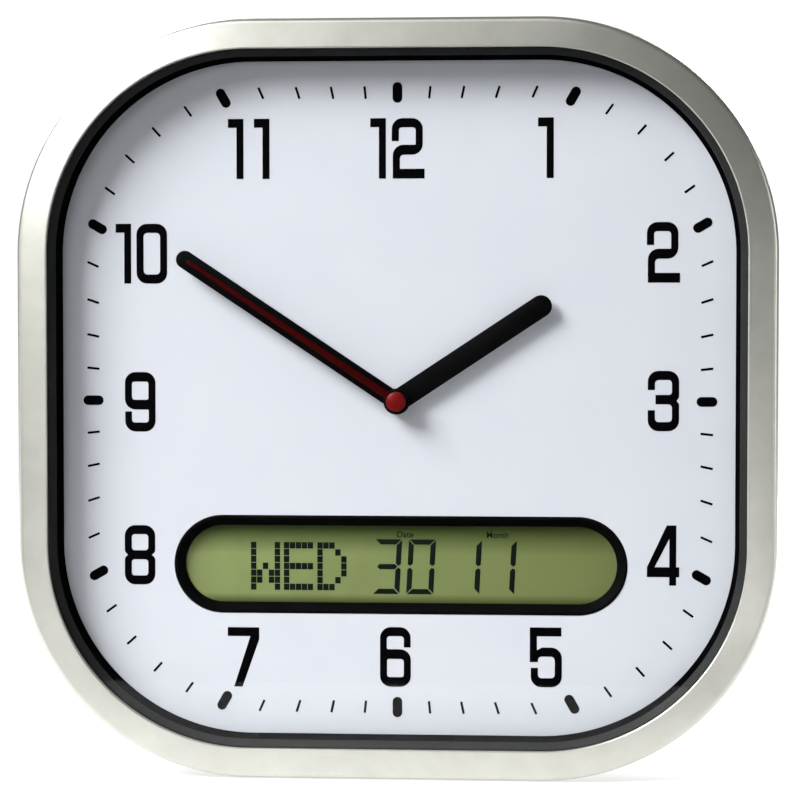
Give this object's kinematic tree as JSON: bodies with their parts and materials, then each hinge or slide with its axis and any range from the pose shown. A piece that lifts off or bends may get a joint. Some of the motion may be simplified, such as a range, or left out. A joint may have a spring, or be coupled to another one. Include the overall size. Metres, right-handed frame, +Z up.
{
  "type": "wall clock",
  "caption": "Square wall clock with large rounded corners, a metallic bezel, three hands and a round-ended day, date and month display window.",
  "frame": {"origin": "on the rear cover's flat back face, which lies on the wall, on the axis of the hands", "axes": "+Z up to 12 o'clock, -Y out of the wall towards the reader, +X towards 3 o'clock"},
  "size_m": [0.3, 0.04, 0.3],
  "materials": {
    "case_silver": "satin metallic paint",
    "black_plastic": "fine matt",
    "dial_white": "matt printed",
    "clear_glass": "clear polished",
    "display_green": "matt polariser",
    "hand_black": "satin paint",
    "hand_red": "satin paint",
    "rear_plastic": "fine spark-eroded texture",
    "module_white": "moulded",
    "grey_rubber": "matt",
    "zinc_steel": "zinc plated",
    "brass": "turned",
    "copper_winding": "enamelled wire",
    "reflector_foil": "bright foil",
    "board_green": "solder mask",
    "cell_jacket": "plain printed jacket",
    "lead_red": "PVC",
    "lead_black": "PVC"
  },
  "bodies": {
    "root": {"bezel": "case_silver", "inner_ring": "black_plastic", "lcd_window_frame": "black_plastic", "dial_plate": "dial_white", "front_glass": "clear_glass", "lcd_glass": "display_green", "rear_cover": "rear_plastic", "movement_front_case": "rear_plastic", "movement_back_case": "rear_plastic", "train_bridge": "rear_plastic", "lcd_holder": "module_white", "calendar_cell_tray": "module_white", "rubber_washer": "grey_rubber", "zebra_strip": "grey_rubber", "keypad_mat": "grey_rubber", "cover_screw_1": "zinc_steel", "cover_screw_2": "zinc_steel", "cover_screw_3": "zinc_steel", "cover_screw_4": "zinc_steel", "cover_screw_5": "zinc_steel", "cover_screw_6": "zinc_steel", "lcd_screw_left": "zinc_steel", "lcd_screw_right": "zinc_steel", "clock_contact_plus": "zinc_steel", "clock_contact_minus": "zinc_steel", "calendar_contact_plus": "zinc_steel", "calendar_contact_minus": "zinc_steel", "stator": "zinc_steel", "quartz_crystal": "zinc_steel", "brass_washer": "brass", "dial_nut": "brass", "coil": "copper_winding", "lcd_reflector": "reflector_foil", "lcd_board": "board_green", "movement_board": "board_green", "clock_cell": "cell_jacket", "calendar_cell": "cell_jacket", "lead_red": "lead_red", "lead_black": "lead_black"},
    "seconds": {"second_wheel": "zinc_steel", "second_hand": "hand_red", "second_hand_cap": "hand_red"},
    "rotor": {"rotor": "module_white"},
    "fifth_wheel": {"fifth_wheel": "module_white"},
    "third_wheel": {"third_wheel": "module_white"},
    "centre_wheel": {"centre_wheel": "brass"},
    "minutes": {"minute_arbor": "brass", "minute_hand": "hand_black"},
    "motion_wheel": {"motion_wheel": "module_white"},
    "hours": {"hour_wheel": "module_white", "hour_hand": "hand_black"},
    "setting_knob": {"setting_knob": "rear_plastic"},
    "clock_cell_door": {"clock_cell_door": "rear_plastic"},
    "calendar_cell_door": {"calendar_cell_door": "rear_plastic"},
    "set_button_1": {"set_button_1": "module_white"},
    "set_button_2": {"set_button_2": "module_white"},
    "set_button_3": {"set_button_3": "module_white"},
    "set_button_4": {"set_button_4": "module_white"}
  },
  "joints": [
    {"name": "second_hand_turn", "type": "hinge", "parent": "root", "child": "seconds", "pos_m": [0, -0.02, 0], "axis": [0, 1, 0], "continuous": true},
    {"name": "rotor_turn", "type": "hinge", "parent": "root", "child": "rotor", "pos_m": [0.01006, -0.011, -0.00192], "axis": [0, 1, 0], "continuous": true},
    {"name": "fifth_wheel_turn", "type": "hinge", "parent": "root", "child": "fifth_wheel", "pos_m": [0.00526, -0.011, -0.00192], "axis": [0, 1, 0], "continuous": true},
    {"name": "third_wheel_turn", "type": "hinge", "parent": "root", "child": "third_wheel", "pos_m": [0.00281, -0.014, 0.00486], "axis": [0, 1, 0], "continuous": true},
    {"name": "centre_wheel_turn", "type": "hinge", "parent": "root", "child": "centre_wheel", "pos_m": [0, -0.0167, 0], "axis": [0, 1, 0], "continuous": true},
    {"name": "minute_hand_turn", "type": "hinge", "parent": "root", "child": "minutes", "pos_m": [0, -0.025, 0], "axis": [0, 1, 0], "continuous": true},
    {"name": "motion_wheel_turn", "type": "hinge", "parent": "root", "child": "motion_wheel", "pos_m": [-0.006, -0.019, 0], "axis": [0, 1, 0], "continuous": true},
    {"name": "hour_hand_turn", "type": "hinge", "parent": "root", "child": "hours", "pos_m": [0, -0.025, 0], "axis": [0, 1, 0], "continuous": true},
    {"name": "setting_knob_turn", "type": "hinge", "parent": "root", "child": "setting_knob", "pos_m": [-0.012, -0.01, 0], "axis": [0, 1, 0], "continuous": true},
    {"name": "set_button_1_press", "type": "slide", "parent": "root", "child": "set_button_1", "axis": [0, -1, 0], "range_m": [0, 0.0012], "stiffness_N_per_m": 400},
    {"name": "set_button_2_press", "type": "slide", "parent": "root", "child": "set_button_2", "axis": [0, -1, 0], "range_m": [0, 0.0012], "stiffness_N_per_m": 400},
    {"name": "set_button_3_press", "type": "slide", "parent": "root", "child": "set_button_3", "axis": [0, -1, 0], "range_m": [0, 0.0012], "stiffness_N_per_m": 400},
    {"name": "set_button_4_press", "type": "slide", "parent": "root", "child": "set_button_4", "axis": [0, -1, 0], "range_m": [0, 0.0012], "stiffness_N_per_m": 400},
    {"name": "clock_cell_door_swing", "type": "hinge", "parent": "root", "child": "clock_cell_door", "pos_m": [0, -0.0003, -0.0182], "axis": [1, 0, 0], "range_deg": [0, 100]},
    {"name": "calendar_cell_door_swing", "type": "hinge", "parent": "root", "child": "calendar_cell_door", "pos_m": [0.072, -0.0003, 0.0094], "axis": [1, 0, 0], "range_deg": [0, 100]}
  ],
  "couplings": [
    {"joint": "rotor_turn", "follows": "second_hand_turn", "ratio": 30},
    {"joint": "fifth_wheel_turn", "follows": "second_hand_turn", "ratio": -6},
    {"joint": "third_wheel_turn", "follows": "second_hand_turn", "ratio": -0.13333},
    {"joint": "centre_wheel_turn", "follows": "second_hand_turn", "ratio": 0.016667},
    {"joint": "motion_wheel_turn", "follows": "minute_hand_turn", "ratio": -0.33333},
    {"joint": "hour_hand_turn", "follows": "minute_hand_turn", "ratio": 0.083333},
    {"joint": "setting_knob_turn", "follows": "minute_hand_turn", "ratio": 1}
  ]
}
